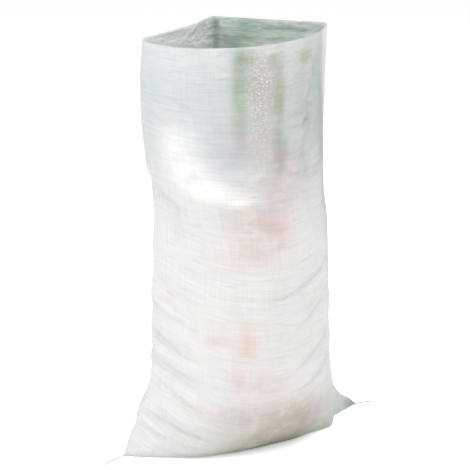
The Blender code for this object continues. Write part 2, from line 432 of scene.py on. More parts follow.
@dataclass
class Studio:
    """Camera, floor and light of a plain white product photo.

    Attributes:
        eye: Where the camera stands.
        aim: The point that it looks at.
        lens: Its focal length in millimetres on a 36 mm sensor.
        floor_size: The side of the floor.
        room_light: How bright the white room is.
        sweep: The rises between which the lit white sweep fades to the room's walls.
        floor_glow: How bright the floor is by itself, as on a lit white sweep.
    """

    eye: Point = (-1.3153, -2.4645, 1.3100)
    aim: Point = (-0.0366, -0.0299, 0.4300)
    lens: float = 115.0
    floor_size: float = 40.0
    room_light: float = 0.66
    sweep: tuple[float, float] = (0.10, 0.40)
    floor_glow: float = 0.28

    def place_camera(self) -> None:
        """Makes the camera at the photo's viewing angle."""
        data = bpy.data.cameras.new("camera")
        data.lens = self.lens
        data.sensor_width = 36.0
        data.clip_end = 50.0
        camera = self.add("camera", data, self.eye)
        bpy.context.scene.camera = camera

    def add(self, name: str, data: bpy.types.ID, place: Point) -> bpy.types.Object:
        """Adds a camera or a lamp that points at the sack."""
        thing = bpy.data.objects.new(name, data)
        bpy.context.scene.collection.objects.link(thing)
        thing.location = place
        thing.rotation_euler = (Vector(self.aim) - Vector(place)).to_track_quat("-Z", "Y").to_euler()
        return thing

    def lay_floor(self) -> None:
        """Makes the plain pale floor."""
        bpy.ops.object.select_all(action="DESELECT")
        bpy.ops.mesh.primitive_plane_add(size=self.floor_size, location=(0.0, 0.0, 0.0))
        floor = bpy.context.object
        floor.name = "floor"
        bench = Bench("pale_floor")
        bench.shader.inputs["Base Color"].default_value = (0.95, 0.95, 0.95, 1.0)
        bench.shader.inputs["Roughness"].default_value = 0.9
        bench.shader.inputs["Emission Color"].default_value = (1.0, 1.0, 1.0, 1.0)
        bench.shader.inputs["Emission Strength"].default_value = self.floor_glow
        floor.data.materials.append(bench.material)

    def light(self) -> None:
        """Lights the sack from the upper left in front, in a white room."""
        world = bpy.data.worlds.new("white_room")
        world.use_nodes = True
        background = world.node_tree.nodes["Background"]
        background.inputs["Color"].default_value = (1.0, 1.0, 1.0, 1.0)
        direction = world.node_tree.nodes.new("ShaderNodeTexCoord")
        axes = world.node_tree.nodes.new("ShaderNodeSeparateXYZ")
        strength = world.node_tree.nodes.new("ShaderNodeMapRange")
        world.node_tree.links.new(direction.outputs["Generated"], axes.inputs[0])
        world.node_tree.links.new(axes.outputs["Z"], strength.inputs["Value"])
        world.node_tree.links.new(strength.outputs["Result"], background.inputs["Strength"])
        for name, value in zip(("From Min", "From Max", "To Min", "To Max"),
                               (*self.sweep, 1.0, self.room_light)):
            strength.inputs[name].default_value = value
        bpy.context.scene.world = world
        self.add_area("key", (-0.10, -2.55, 2.7), 1.6, 27.0)
        self.add_area("side", (-2.5, 0.0, 2.3), 0.7, 43.0)
        self.add_area("top", (0.8, -0.9, 3.2), 2.0, 48.0)
        bpy.context.scene.view_settings.view_transform = "Standard"

    def add_area(self, name: str, place: Point, size: float, watts: float) -> None:
        """Adds a square lamp.

        Args:
            name: The lamp's name.
            place: Where it hangs.
            size: Its side.
            watts: Its power.
        """
        data = bpy.data.lights.new(name, "AREA")
        data.size = size
        data.energy = watts
        self.add(name, data, place)


@dataclass
class SewingThread:
    """The bottom seam's thread and its two loose ends.

    Attributes:
        diameter: The thread's thickness.
        lift: How high its middle lies over the floor.
        ear_exit: How far from the middle it leaves each ear.
        left: The left end's length.
        right: The right end's length.
        points: How many points each route has.
    """

    diameter: float = 0.0012
    lift: float = 0.0009
    ear_exit: float = 0.2713
    left: float = 0.047
    right: float = 0.035
    points: int = 14

    def route(self, side: int, offsets: tuple[tuple[float, float], ...], length: float) -> list[Vector]:
        """Evenly spaced points on a smooth curve through a few chosen ones.

        Args:
            side: -1 for the left end and 1 for the right one.
            offsets: The chosen points, from where the thread leaves the ear.
            length: The thread's real length.

        Returns:
            The points.
        """
        chosen = [Vector((side * self.ear_exit + x, y, self.lift)) for x, y in offsets]
        padded = [chosen[0] * 2 - chosen[1], *chosen, chosen[-1] * 2 - chosen[-2]]
        fine = []
        for p0, p1, p2, p3 in zip(padded, padded[1:], padded[2:], padded[3:]):
            for t in np.linspace(0.0, 1.0, 24, endpoint=False):
                first = 2 * p1 + (p2 - p0) * t
                second = (2 * p0 - 5 * p1 + 4 * p2 - p3) * t**2
                third = (3 * p1 - p0 - 3 * p2 + p3) * t**3
                fine.append((first + second + third) / 2)
        fine.append(chosen[-1])
        route = spaced(np.array(fine), self.points)
        total = np.linalg.norm(np.diff(route, axis=0), axis=1).sum()
        return [Vector(route[0] + (point - route[0]) * length / total) for point in route]

    def tail(self, name: str, route: list[Vector], length: float, far_end: str) -> bpy.types.Object:
        """Makes one loose end as a free cord.

        Args:
            name: The piece's name.
            route: The points that it follows.
            length: Its real length; not used.
            far_end: What is on its end; not used.

        Returns:
            The piece.
        """
        curve = bpy.data.curves.new(name, "CURVE")
        curve.dimensions = "3D"
        curve.bevel_depth = 1.0
        curve.bevel_resolution = 3
        curve.use_fill_caps = True
        line = curve.splines.new("POLY")
        line.points.add(len(route) - 1)
        for spot, point in zip(line.points, route):
            spot.co = (*point, 1.0)
            spot.radius = self.diameter / 2
        piece = bpy.data.objects.new(name, curve)
        bpy.context.scene.collection.objects.link(piece)
        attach(piece, "root")
        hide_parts(f"thread_{name}")
        return piece

    def build(self) -> list[bpy.types.Object]:
        """Builds both loose ends and dresses the whole thread."""
        left = ((0.0, 0.0), (-0.014, -0.004), (-0.030, -0.009), (-0.046, -0.017))
        right = ((0.0, 0.0), (0.012, 0.002), (0.024, -0.001), (0.035, -0.006))
        tails = [
            self.tail("tail_left", self.route(-1, left, self.left), self.left, "knot"),
            self.tail("tail_right", self.route(1, right, self.right), self.right, "bare"),
        ]
        material = TwistedThread().material()
        for tail in tails:
            tail.data.materials.append(material)
        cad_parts["bottom_seam_thread"].material_slots[0].material = material
        return tails


@dataclass
class RubbleFill:
    """The broken brick and concrete in the sack.

    Attributes:
        cell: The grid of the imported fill's surface.
        hollow: How far its surface falls back between buried lumps.
        hollow_size: How wide those hollows are.
        lump_cell: The grid of a lump's surface.
        crumbs: How many small pieces fall on the fill, for each kind.
        loose_layer: How far above the fill crumbs still lie thick.
        dust_share: How small crumbs higher up are, against the others.
        gap: How far the rubble stays behind the cloth's outside.
        width: The fill's width.
        seed: Where the random draws start.
        pieces: What has been built.
    """

    cell: float = 0.008
    hollow: float = 0.004
    hollow_size: float = 0.055
    lump_cell: float = 0.0028
    crumbs: int = 900
    loose_layer: float = 0.008
    dust_share: float = 0.3
    gap: float = 0.0026
    width: float = 0.37
    seed: int = 5
    pieces: list[bpy.types.Object] = field(default_factory=list)

    def packed_fill(self) -> bpy.types.Object:
        """The hidden fill, uneven where buried lumps press against the cloth."""
        body = clean_copy("rubble_core", "rubble_fines")
        finish_with(body, "REMESH", mode="VOXEL", voxel_size=self.cell)
        for vert in body.data.vertices:
            place = vert.co / self.hollow_size
            bumps = noise.noise(place) * 0.7 + noise.noise(place * 2.1 + Vector((5.0, 3.0, 1.0))) * 0.3
            foot = float(ease(vert.co.z / 0.03))
            vert.co -= vert.normal * (0.0005 + foot * self.hollow * (0.5 - bumps))
            share = (vert.co.x * PICTURE_RIGHT[0] + vert.co.y * PICTURE_RIGHT[1]) / self.width + 0.5
            vert.co += Vector(lean(vert.co.z, share))
        return body

    def lump_nodes(self) -> list[str]:
        """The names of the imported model's lumps."""
        return sorted(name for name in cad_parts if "_lump_" in name)

    def collider(self) -> bpy.types.Object:
        """The fill as the body that the cloth lies against."""
        fill = self.packed_fill()
        fill.name = "collider"
        fill.modifiers.new("collision", "COLLISION")
        fill.collision.thickness_outer = 0.001
        fill.collision.cloth_friction = 8.0
        return fill

    def fines(self) -> bpy.types.Object:
        """The fill with a loose uneven top, which shows between the lumps."""
        fill = self.packed_fill()
        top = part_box("rubble_core")[1].z
        for vert in fill.data.vertices:
            vert.co.x *= 0.992
            vert.co.y *= 0.992
            if vert.co.z > top - 0.012:
                vert.co.z += 0.007 * noise.noise(vert.co * 38.0) + 0.003 * noise.noise(vert.co * 120.0)
                vert.co.z = min(vert.co.z, top + 0.006)
        finish_with(fill, "SUBSURF", levels=1)
        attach(fill, "root")
        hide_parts("rubble_core")
        return fill

    def lump(self, node: str) -> bpy.types.Object:
        """One lump with chipped edges and rough broken faces."""
        piece = clean_copy(node, node.replace("_lump_", "_rubble_"))
        finish_with(piece, "REMESH", mode="VOXEL", voxel_size=self.lump_cell, use_smooth_shade=True)
        shift = Vector((len(node), int(node[-2:]), 0.5)) * 3.7
        for vert in piece.data.vertices:
            place = vert.co + shift
            rough = noise.noise(place * 45.0) * 0.0022 + noise.noise(place * 140.0) * 0.0011
            vert.co += vert.normal * (rough - 0.0016)
        activate(piece)
        bpy.ops.object.shade_smooth()
        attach(piece, "root")
        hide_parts(node)
        return piece

    def scatter(self, kind: Rubble, count: int, ground: BVHTree, rng: random.Random) -> bpy.types.Object:
        """Drops small crumbs on the fill, joined in one mesh.

        Args:
            kind: What the crumbs are of.
            count: How many.
            ground: What they fall on.
            rng: The random draws.

        Returns:
            The piece.
        """
        bpy.ops.object.select_all(action="DESELECT")
        bpy.ops.mesh.primitive_ico_sphere_add(subdivisions=2, radius=1.0)
        seed = bpy.context.object
        shape = bmesh.new()
        low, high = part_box("rubble_core")
        for number in range(count):
            spot = Vector((rng.uniform(low.x, high.x), rng.uniform(low.y, high.y), 0.6))
            hit = ground.ray_cast(spot, Vector((0.0, 0.0, -1.0)))[0]
            size = rng.uniform(0.0025, 0.0075)
            if hit is None or Vector((hit.x / 0.165, hit.y / 0.148)).length > 1.0 - size / 0.15:
                continue
            if hit.z > high.z + self.loose_layer:
                size *= self.dust_share
            stretch = Matrix.Diagonal((rng.uniform(0.8, 1.4), rng.uniform(0.6, 1.0), rng.uniform(0.5, 0.8), 1.0))
            turn = Euler([rng.uniform(0.0, math.tau) for _ in range(3)]).to_matrix().to_4x4()
            crumb = seed.data.copy()
            crumb.transform(turn @ stretch @ Matrix.Scale(size, 4))
            for vert in crumb.vertices:
                vert.co *= 1.0 + 0.45 * noise.noise(vert.co * (0.9 / size) + Vector((number, 0.0, 0.0)))
            crumb.transform(Matrix.Translation(hit + Vector((0.0, 0.0, 0.35 * size))))
            shape.from_mesh(crumb)
            bpy.data.meshes.remove(crumb)
        bpy.data.objects.remove(seed)
        mesh = bpy.data.meshes.new(f"{kind.value}_crumbs")
        shape.to_mesh(mesh)
        shape.free()
        piece = bpy.data.objects.new(mesh.name, mesh)
        bpy.context.scene.collection.objects.link(piece)
        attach(piece, "root")
        return piece

    def build(self) -> list[bpy.types.Object]:
        """Builds and dresses the fill, the lumps and the crumbs."""
        finishes = {
            Rubble.BRICK: BrokenStone("broken_brick", (0.36, 0.13, 0.08), (0.44, 0.20, 0.13),
                                      (0.50, 0.38, 0.30), 0.004, (0.46, 0.33, 0.27)),
            Rubble.CONCRETE: BrokenStone("broken_concrete", (0.37, 0.36, 0.33), (0.46, 0.44, 0.40),
                                         (0.20, 0.19, 0.18), 0.007, (0.48, 0.46, 0.42)),
        }
        materials = {kind: finish.material() for kind, finish in finishes.items()}
        fines = self.fines()
        fines.data.materials.append(
            BrokenStone("rubble_fines", (0.34, 0.27, 0.21), (0.40, 0.34, 0.29),
                        (0.42, 0.20, 0.13), 0.003, (0.45, 0.40, 0.35)).material())
        pieces = [fines]
        for node in self.lump_nodes():
            kind = Rubble(node.split("_")[0])
            piece = self.lump(node)
            piece.data.materials.append(materials[kind])
            pieces.append(piece)
        ground = self.ground(pieces)
        rng = random.Random(self.seed)
        for kind in Rubble:
            crumbs = self.scatter(kind, self.crumbs, ground, rng)
            crumbs.data.materials.append(materials[kind])
            pieces.append(crumbs)
        self.pieces = pieces
        return pieces

    def tuck(self, sack: bpy.types.Object) -> None:
        """Draws the rubble back to a clear gap behind the cloth.

        Args:
            sack: The cloth, as one sheet that faces outwards.
        """
        shape = bmesh.new()
        shape.from_mesh(sack.data)
        tree = BVHTree.FromBMesh(shape)
        shape.free()
        for piece in self.pieces:
            for vert in piece.data.vertices:
                nearest, normal, _, _ = tree.find_nearest(vert.co)
                if (vert.co - nearest).dot(normal) > -self.gap:
                    vert.co = nearest - normal * self.gap
            piece.data.update()

    @staticmethod
    def ground(pieces: list[bpy.types.Object]) -> BVHTree:
        """All these pieces' surfaces as one tree to drop crumbs on."""
        shape = bmesh.new()
        for piece in pieces:
            shape.from_mesh(piece.data)
        tree = BVHTree.FromBMesh(shape)
        shape.free()
        return tree


@dataclass(frozen=True)
class Crease:
    """A crease or a soft fold that is pressed into the settled cloth.

    Attributes:
        route: The points that it follows: the angle round the sack in degrees, and the height.
        width: How far it reaches to each side.
        depth: How far it stands out, or in where it is negative.
    """

    route: tuple[tuple[float, float], ...]
    width: float
    depth: float

    def offset(self, turn: np.ndarray, height: np.ndarray) -> np.ndarray:
        """How far it moves the cloth outwards at some places.

        Args:
            turn: The angles of the places, in radians.
            height: Their heights.

        Returns:
            The offsets.
        """
        radius = 0.18
        corners = np.array([(math.radians(angle) * radius, z) for angle, z in self.route])
        middle = corners[:, 0].mean() / radius
        unwound = middle + (turn - middle + math.pi) % math.tau - math.pi
        places = np.stack([unwound * radius, height], axis=1)
        steps = np.linalg.norm(np.diff(corners, axis=0), axis=1)
        travelled = np.concatenate([[0.0], np.cumsum(steps)])
        nearest = np.full(len(places), np.inf)
        along = np.zeros(len(places))
        for i, (a, b) in enumerate(zip(corners, corners[1:])):
            share = np.clip((places - a) @ (b - a) / steps[i] ** 2, 0.0, 1.0)
            apart = np.linalg.norm(places - (a + share[:, None] * (b - a)), axis=1)
            closer = apart < nearest
            nearest = np.where(closer, apart, nearest)
            along = np.where(closer, (travelled[i] + share * steps[i]) / travelled[-1], along)
        taper = 0.25 + 0.75 * np.sin(math.pi * along) ** 0.7
        return self.depth * taper * np.exp(-((nearest / self.width) ** 2))


@dataclass(frozen=True)
class DirtAndLightPatch:
    """A soft patch of tint on the cloth; some are real dust and dirt, others painted shade, painted highlights
    and painted reflections.

    Attributes:
        angle: Where it is round the sack, in degrees.
        height: Its height.
        reach: Its half width and half height.
        tint: The colour that the cloth is multiplied by at its middle.
        specks: How thick dirt lies on it in specks.
        broken: How much the cloth's unevenness breaks it up.
        inside: Whether it is on the inside.
    """

    angle: float
    height: float
    reach: tuple[float, float]
    tint: Colour
    specks: float = 0.0
    broken: float = 1.0
    inside: bool = False

    def share(self, turn: np.ndarray, height: np.ndarray, patchy: np.ndarray) -> np.ndarray:
        """How strong it is at some places, from 0 to 1.

        Args:
            turn: The angles of the places, in radians.
            height: Their heights.
            patchy: How ready each place is to take the patch's tint, for dirt and painted light alike.

        Returns:
            The shares.
        """
        side = (turn - math.radians(self.angle) + math.pi) % math.tau - math.pi
        far = np.hypot(side * 0.18 / self.reach[0], (height - self.height) / self.reach[1])
        return np.exp(-(far**2.6)) * np.clip(1.0 + self.broken * (patchy - 1.0), 0.0, 1.0)


@dataclass(frozen=True)
class Bulge:
    """A place where the sack stands out.

    Attributes:
        angle: Where it is round the sack, in degrees.
        height: Its height.
        spread: Its half width in degrees.
        reach: Its half height.
        out: How far it stands out.
    """

    angle: float
    height: float
    spread: float
    reach: float
    out: float


BULGES = (
    Bulge(337, 0.000, 8, 0.028, 0.024),
    Bulge(207, 0.000, 11, 0.050, 0.009),
    Bulge(181, 0.104, 10, 0.020, 0.011),
)

CREASES = (
    Crease(((176, 0.556), (190, 0.530), (198, 0.512), (199, 0.480), (197, 0.445)), 0.012, -0.008),
    Crease(((226, 0.675), (237, 0.615), (248, 0.570)), 0.036, -0.009),
    Crease(((205, 0.670), (207, 0.600), (212, 0.555), (229, 0.530), (248, 0.528)), 0.014, 0.007),
    Crease(((326, 0.392), (309, 0.368), (289, 0.352), (270, 0.338), (256, 0.334)), 0.006, -0.006),
    Crease(((325, 0.374), (308, 0.352), (292, 0.330)), 0.008, 0.004),
    Crease(((326, 0.330), (308, 0.300), (291, 0.275), (279, 0.262)), 0.007, -0.007),
    Crease(((326, 0.305), (310, 0.272), (296, 0.250)), 0.008, 0.003),
    Crease(((328, 0.245), (311, 0.215), (297, 0.195), (280, 0.182)), 0.007, -0.007),
    Crease(((328, 0.222), (314, 0.190), (300, 0.170)), 0.008, 0.003),
    Crease(((328, 0.178), (316, 0.158), (300, 0.143), (284, 0.128)), 0.007, -0.007),
    Crease(((172, 0.318), (183, 0.300), (196, 0.288), (208, 0.284)), 0.008, -0.004),
    Crease(((170, 0.262), (180, 0.243), (192, 0.228), (212, 0.210)), 0.008, -0.006),
    Crease(((172, 0.240), (183, 0.222), (195, 0.212), (208, 0.200)), 0.009, 0.005),
    Crease(((170, 0.215), (183, 0.194), (197, 0.177), (214, 0.162)), 0.009, -0.006),
    Crease(((178, 0.165), (188, 0.148), (199, 0.123)), 0.009, 0.005),
    Crease(((182, 0.160), (194, 0.140), (205, 0.116), (218, 0.104)), 0.008, -0.006),
    Crease(((180, 0.096), (190, 0.076), (202, 0.056), (214, 0.040)), 0.008, -0.008),
    Crease(((182, 0.078), (195, 0.058), (207, 0.040), (218, 0.030)), 0.008, 0.008),
    Crease(((188, 0.036), (197, 0.020), (206, 0.012)), 0.006, 0.004),
    Crease(((345, 0.100), (346, 0.060), (347, 0.020)), 0.006, -0.006),
    Crease(((338, 0.095), (338, 0.050), (338, 0.010)), 0.006, 0.003),
    Crease(((322, 0.780), (305, 0.700), (292, 0.613), (296, 0.530), (298, 0.456)), 0.011, -0.004),
    Crease(((228, 0.345), (243, 0.340), (258, 0.338)), 0.004, -0.0015),
    Crease(((318, 0.680), (292, 0.655), (278, 0.660)), 0.006, -0.003),
    Crease(((318, 0.625), (290, 0.598), (266, 0.600)), 0.006, -0.003),
    Crease(((318, 0.575), (287, 0.565), (260, 0.582)), 0.006, -0.003),
    Crease(((208, 0.722), (216, 0.700)), 0.006, -0.003),
    Crease(((200, 0.690), (208, 0.684), (218, 0.664)), 0.006, -0.003),
)

# Painted reflection: the green of the surroundings mirrored in the glossy cloth.
PAINTED_GREEN_REFLECTION: Colour = (0.60, 0.69, 0.50)
PINK: Colour = (0.97, 0.84, 0.85)

# Painted shade: the tint that darkens the outside cloth along each crease's groove.
PAINTED_CREASE_SHADE: Colour = (0.95, 0.955, 0.96)
# Painted highlight: a tint above one that brightens the cloth where it catches the light.
PAINTED_HIGHLIGHT: Colour = (1.25, 1.23, 1.20)

# Real dust and dirt, and patches of painted shade, painted highlights and painted reflections, each marked
# below.
DIRT_AND_LIGHT_PATCHES = (
    # Painted shade: the cloth over the empty top darker and bluer, the upper right darker still.
    DirtAndLightPatch(235, 0.710, (0.360, 0.165), (0.77, 0.79, 0.82), broken=0.1),
    DirtAndLightPatch(308, 0.690, (0.100, 0.180), (0.77, 0.78, 0.76), broken=0.3),
    DirtAndLightPatch(250, 0.290, (0.380, 0.290), (1.02, 0.98, 0.955), broken=0.1),
    # Painted highlight: the bright crescent along the ridge where the filled cloth bulges out under the empty
    # top.
    DirtAndLightPatch(205, 0.660, (0.034, 0.030), PAINTED_HIGHLIGHT, broken=0.4),
    DirtAndLightPatch(207, 0.615, (0.040, 0.034), PAINTED_HIGHLIGHT, broken=0.4),
    DirtAndLightPatch(213, 0.575, (0.046, 0.032), PAINTED_HIGHLIGHT, broken=0.4),
    DirtAndLightPatch(224, 0.550, (0.040, 0.020), PAINTED_HIGHLIGHT, broken=0.4),
    DirtAndLightPatch(240, 0.534, (0.030, 0.009), PAINTED_HIGHLIGHT, broken=0.4),
    # Painted shade in the dent beside the highlight.
    DirtAndLightPatch(230, 0.600, (0.022, 0.040), (0.93, 0.94, 0.96), broken=0.3),
    # Darker and browner towards the bottom edge.
    DirtAndLightPatch(282, 0.045, (0.190, 0.065), (0.64, 0.58, 0.51), broken=0.4),
    # Painted shade: the dark band and line where the cloth turns under at the floor.
    DirtAndLightPatch(280, 0.008, (0.200, 0.022), (0.54, 0.57, 0.42), broken=0.4),
    DirtAndLightPatch(266, 0.000, (0.190, 0.011), (0.10, 0.12, 0.08), broken=0.3),
    # Painted reflection: green bands mirrored in the glossy upper front, with a greener touch by the rim.
    DirtAndLightPatch(239, 0.740, (0.017, 0.090), PAINTED_GREEN_REFLECTION, broken=0.5),
    DirtAndLightPatch(243, 0.797, (0.020, 0.014), PAINTED_GREEN_REFLECTION, broken=0.5),
    DirtAndLightPatch(266, 0.725, (0.019, 0.085), PAINTED_GREEN_REFLECTION, broken=0.5),
    DirtAndLightPatch(260, 0.790, (0.013, 0.014), PAINTED_GREEN_REFLECTION, broken=0.5),
    DirtAndLightPatch(298, 0.783, (0.030, 0.012), (0.55, 0.70, 0.32), broken=0.4),
    DirtAndLightPatch(268, 0.622, (0.026, 0.045), (0.80, 0.82, 0.75), broken=0.5),
    DirtAndLightPatch(240, 0.635, (0.018, 0.050), (0.92, 0.87, 0.89), broken=0.4),
    DirtAndLightPatch(262, 0.590, (0.060, 0.070), (0.94, 0.89, 0.88), broken=0.6),
    DirtAndLightPatch(252, 0.740, (0.030, 0.074), (0.76, 0.71, 0.62), 0.75, 0.5),
    DirtAndLightPatch(252, 0.645, (0.022, 0.085), (0.92, 0.89, 0.86), 0.35, 0.5),
    DirtAndLightPatch(282, 0.700, (0.060, 0.120), (0.92, 0.93, 0.90), broken=0.5),
    DirtAndLightPatch(268, 0.540, (0.060, 0.085), (0.93, 0.84, 0.84), broken=0.6),
    DirtAndLightPatch(246, 0.494, (0.050, 0.030), (0.90, 0.79, 0.77), broken=0.6),
    DirtAndLightPatch(247, 0.442, (0.060, 0.045), (0.95, 0.86, 0.84)),
    DirtAndLightPatch(264, 0.462, (0.026, 0.030), (0.95, 0.83, 0.81), broken=0.6),
    DirtAndLightPatch(227, 0.259, (0.032, 0.016), (0.97, 0.84, 0.88), broken=0.5),
    DirtAndLightPatch(244, 0.248, (0.020, 0.026), (1.00, 0.82, 0.73), broken=0.4),
    DirtAndLightPatch(243, 0.282, (0.014, 0.018), (0.98, 0.87, 0.84), broken=0.4),
    DirtAndLightPatch(237, 0.182, (0.016, 0.030), PINK, broken=0.6),
    DirtAndLightPatch(258, 0.163, (0.054, 0.026), PINK, broken=0.8),
    DirtAndLightPatch(302, 0.045, (0.050, 0.055), (0.85, 0.82, 0.84), broken=0.5),
    DirtAndLightPatch(238, 0.103, (0.064, 0.022), (0.88, 0.82, 0.84)),
    DirtAndLightPatch(280, 0.090, (0.090, 0.028), (0.92, 0.84, 0.82)),
    # Darker and yellower towards the bottom edge.
    DirtAndLightPatch(268, 0.035, (0.130, 0.022), (0.80, 0.80, 0.68)),
    DirtAndLightPatch(192, 0.333, (0.009, 0.011), (0.97, 0.76, 0.78)),
    # Painted shade: the upper left edge darker where the cloth turns away.
    DirtAndLightPatch(180, 0.690, (0.040, 0.140), (0.92, 0.96, 0.94)),
    # Painted light: the lower left brightened.
    DirtAndLightPatch(185, 0.240, (0.100, 0.200), (1.05, 1.05, 1.06), broken=0.2),
    # Painted shade: the right side darker and greyer, most at its upper edge.
    DirtAndLightPatch(328, 0.620, (0.034, 0.230), (0.58, 0.68, 0.62), broken=0.4),
    DirtAndLightPatch(318, 0.640, (0.060, 0.190), (0.88, 0.91, 0.89), broken=0.4),
    DirtAndLightPatch(325, 0.250, (0.020, 0.180), (0.92, 0.95, 0.93)),
    # Painted shade on the right ear, which lies back from the light.
    DirtAndLightPatch(354, 0.040, (0.060, 0.070), (0.84, 0.90, 0.87), broken=0.3),
    # Painted highlight: a bright line down the fold at the right corner.
    DirtAndLightPatch(341, 0.055, (0.004, 0.050), (1.25, 1.25, 1.25), broken=0.2),
    DirtAndLightPatch(359, 0.008, (0.010, 0.012), (0.45, 0.50, 0.48), broken=0.3),
    DirtAndLightPatch(90, 0.250, (0.120, 0.080), (0.97, 0.90, 0.88)),
    DirtAndLightPatch(110, 0.060, (0.160, 0.050), (0.86, 0.84, 0.76)),
    DirtAndLightPatch(30, 0.400, (0.060, 0.060), (0.97, 0.90, 0.88)),
    # Painted reflection: a green band on the back.
    DirtAndLightPatch(60, 0.700, (0.016, 0.080), PAINTED_GREEN_REFLECTION),
    # Painted shade on the inside of the back right panel.
    DirtAndLightPatch(40, 0.700, (0.150, 0.300), (0.58, 0.72, 0.61), broken=0.4, inside=True),
    DirtAndLightPatch(66, 0.700, (0.045, 0.300), (0.62, 0.76, 0.64), broken=0.3, inside=True),
    # Painted light on the inside of the back left panel.
    DirtAndLightPatch(140, 0.700, (0.150, 0.300), (1.10, 1.14, 1.10), broken=0.2, inside=True),
    # Painted shade along the back crease inside and in a band under the back right rim.
    DirtAndLightPatch(82, 0.740, (0.006, 0.200), (0.50, 0.60, 0.50), inside=True),
    DirtAndLightPatch(22, 0.803, (0.080, 0.005), (0.42, 0.52, 0.50), broken=0.4, inside=True),
)


@dataclass
class WovenSack:
    """The open sack of woven tape.

    Attributes:
        flat_width: Its lay-flat width.
        flat_length: Its length from the bottom seam to the mouth.
        pitch: The size of one cell of the cloth's grid.
        ear_reach: How far each ear tip lies from the middle.
        rim_height: The height of the mouth.
        floor_gap: How high the cloth's underside lies.
        cloth: The cloth's thickness.
        frames: How many frames the cloth settles for.
    """

    flat_width: float = 0.550
    flat_length: float = 0.950
    pitch: float = 0.010
    ear_reach: float = 0.271
    rim_height: float = 0.8195
    floor_gap: float = 0.0005
    cloth: float = 0.0005
    frames: int = 30

    @property
    def back_line(self) -> int:
        """The grid line of the crease down the back panel."""
        return self.across + round(0.455 * self.across)

    @property
    def across(self) -> int:
        """Cells across one panel."""
        return round(self.flat_width / self.pitch)

    @property
    def around(self) -> int:
        """Cells round the whole tube."""
        return 2 * self.across

    @property
    def rows(self) -> int:
        """Cells from the seam to the mouth."""
        return round(self.flat_length / self.pitch)

    def fold(self, line: int) -> int:
        """How many cells a grid line lies from the left fold."""
        return line if line <= self.across else self.around - line

    def outer_rings(self, heights: np.ndarray) -> np.ndarray:
        """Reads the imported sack's outside at some heights.

        Args:
            heights: The heights.

        Returns:
            For each height, one point for each of the tube's grid lines, from the left fold by the
            front to the right fold and back by the rear.
        """
        solid = clean_copy("woven_sack", "woven_sack_copy")
        tree = BVHTree.FromObject(solid, bpy.context.evaluated_depsgraph_get())
        bpy.data.objects.remove(solid)
        rings = []
        for height in heights:
            halves = []
            for start, stop in ((math.pi, math.tau), (math.tau, 3.0 * math.pi)):
                arc = []
                for angle in np.linspace(start, stop, 241):
                    out = Vector((math.cos(angle), math.sin(angle), 0.0))
                    hit = tree.ray_cast(out * 0.5 + Vector((0.0, 0.0, height)), -out)[0]
                    arc.append(tuple(hit))
                halves.append(spaced(np.array(arc), self.across + 1)[:-1])
            ring = np.concatenate(halves)
            self.fit(ring, height)
            rings.append(ring)
        return np.array(rings)

    def fit(self, ring: np.ndarray, height: float) -> None:
        """Leans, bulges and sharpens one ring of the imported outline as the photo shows.

        Args:
            ring: The ring's points, which are moved.
            height: Its height.
        """
        sideways = ring[:, :2] @ np.array(PICTURE_RIGHT)
        share = (sideways - sideways.min()) / (sideways.max() - sideways.min())
        ring += lean(height, share)
        turn = np.degrees(np.arctan2(ring[:, 1], ring[:, 0]))
        for bulge in BULGES:
            side = (turn - bulge.angle + 180.0) % 360.0 - 180.0
            rise = (height - bulge.height) / bulge.reach
            out = bulge.out * np.exp(-((side / bulge.spread) ** 2) - rise**2)
            ring[:, :2] *= (1.0 + out / np.hypot(ring[:, 0], ring[:, 1]))[:, None]
        sharp = float(ease((height - 0.52) / 0.15))
        near, far = self.back_line - 3, self.back_line + 4
        corner = ring[self.back_line] + sharp * np.array([0.003, 0.008, 0.0])
        straight = np.concatenate([
            np.linspace(ring[near], corner, 4),
            np.linspace(corner, ring[far], 5)[1:],
        ])
        ring[near : far + 1] += sharp * (straight - ring[near : far + 1])

    def start_shape(self) -> np.ndarray:
        """Lays each grid line of the cloth from the seam over the base's edge up to the mouth.

        Returns:
            The points, by row and by grid line.
        """
        foot = np.linspace(self.floor_gap, 0.15, 24)
        heights = np.concatenate([foot, np.linspace(0.17, self.rim_height, 40)])
        rings = self.outer_rings(heights)
        lines = []
        for line in range(self.around):
            reach = self.ear_reach * (2.0 * self.fold(line) / self.across - 1.0)
            seam = np.array([reach, 0.0, self.floor_gap])
            lines.append(spaced(np.concatenate([[seam], rings[:, line]]), self.rows + 1))
        points = np.array(lines).transpose(1, 0, 2)
        self.ruffle(points)
        return points

    def ruffle(self, points: np.ndarray) -> None:
        """Starts the slack cloth off in low smile-shaped waves, most at the two sides.

        Args:
            points: The points, by row and by grid line, which are moved.
        """
        for row in range(2, self.rows - 1):
            for line in range(self.around):
                place = Vector(points[row, line])
                if place.z < 0.004:
                    continue
                side = abs(2.0 * self.fold(line) / self.across - 1.0)
                smile = place.z - 0.5 * side * self.flat_width / 2
                low = float(ease(place.z / 0.06) * (1.0 - ease((place.z - 0.34) / 0.12)))
                along = line * self.pitch
                waves = noise.noise(Vector((along * 7.0, smile * 28.0, 0.3)))
                waves += 0.5 * noise.noise(Vector((along * 12.0, smile * 55.0, 4.3)))
                slow = noise.noise(Vector((along * 9.0, place.z * 7.0, 9.3)))
                depth = 0.007 * low * (0.12 + side) * waves + 0.003 * (1.0 - low) * slow
                points[row, line] += depth * Vector((place.x, place.y, 0.0)).normalized()

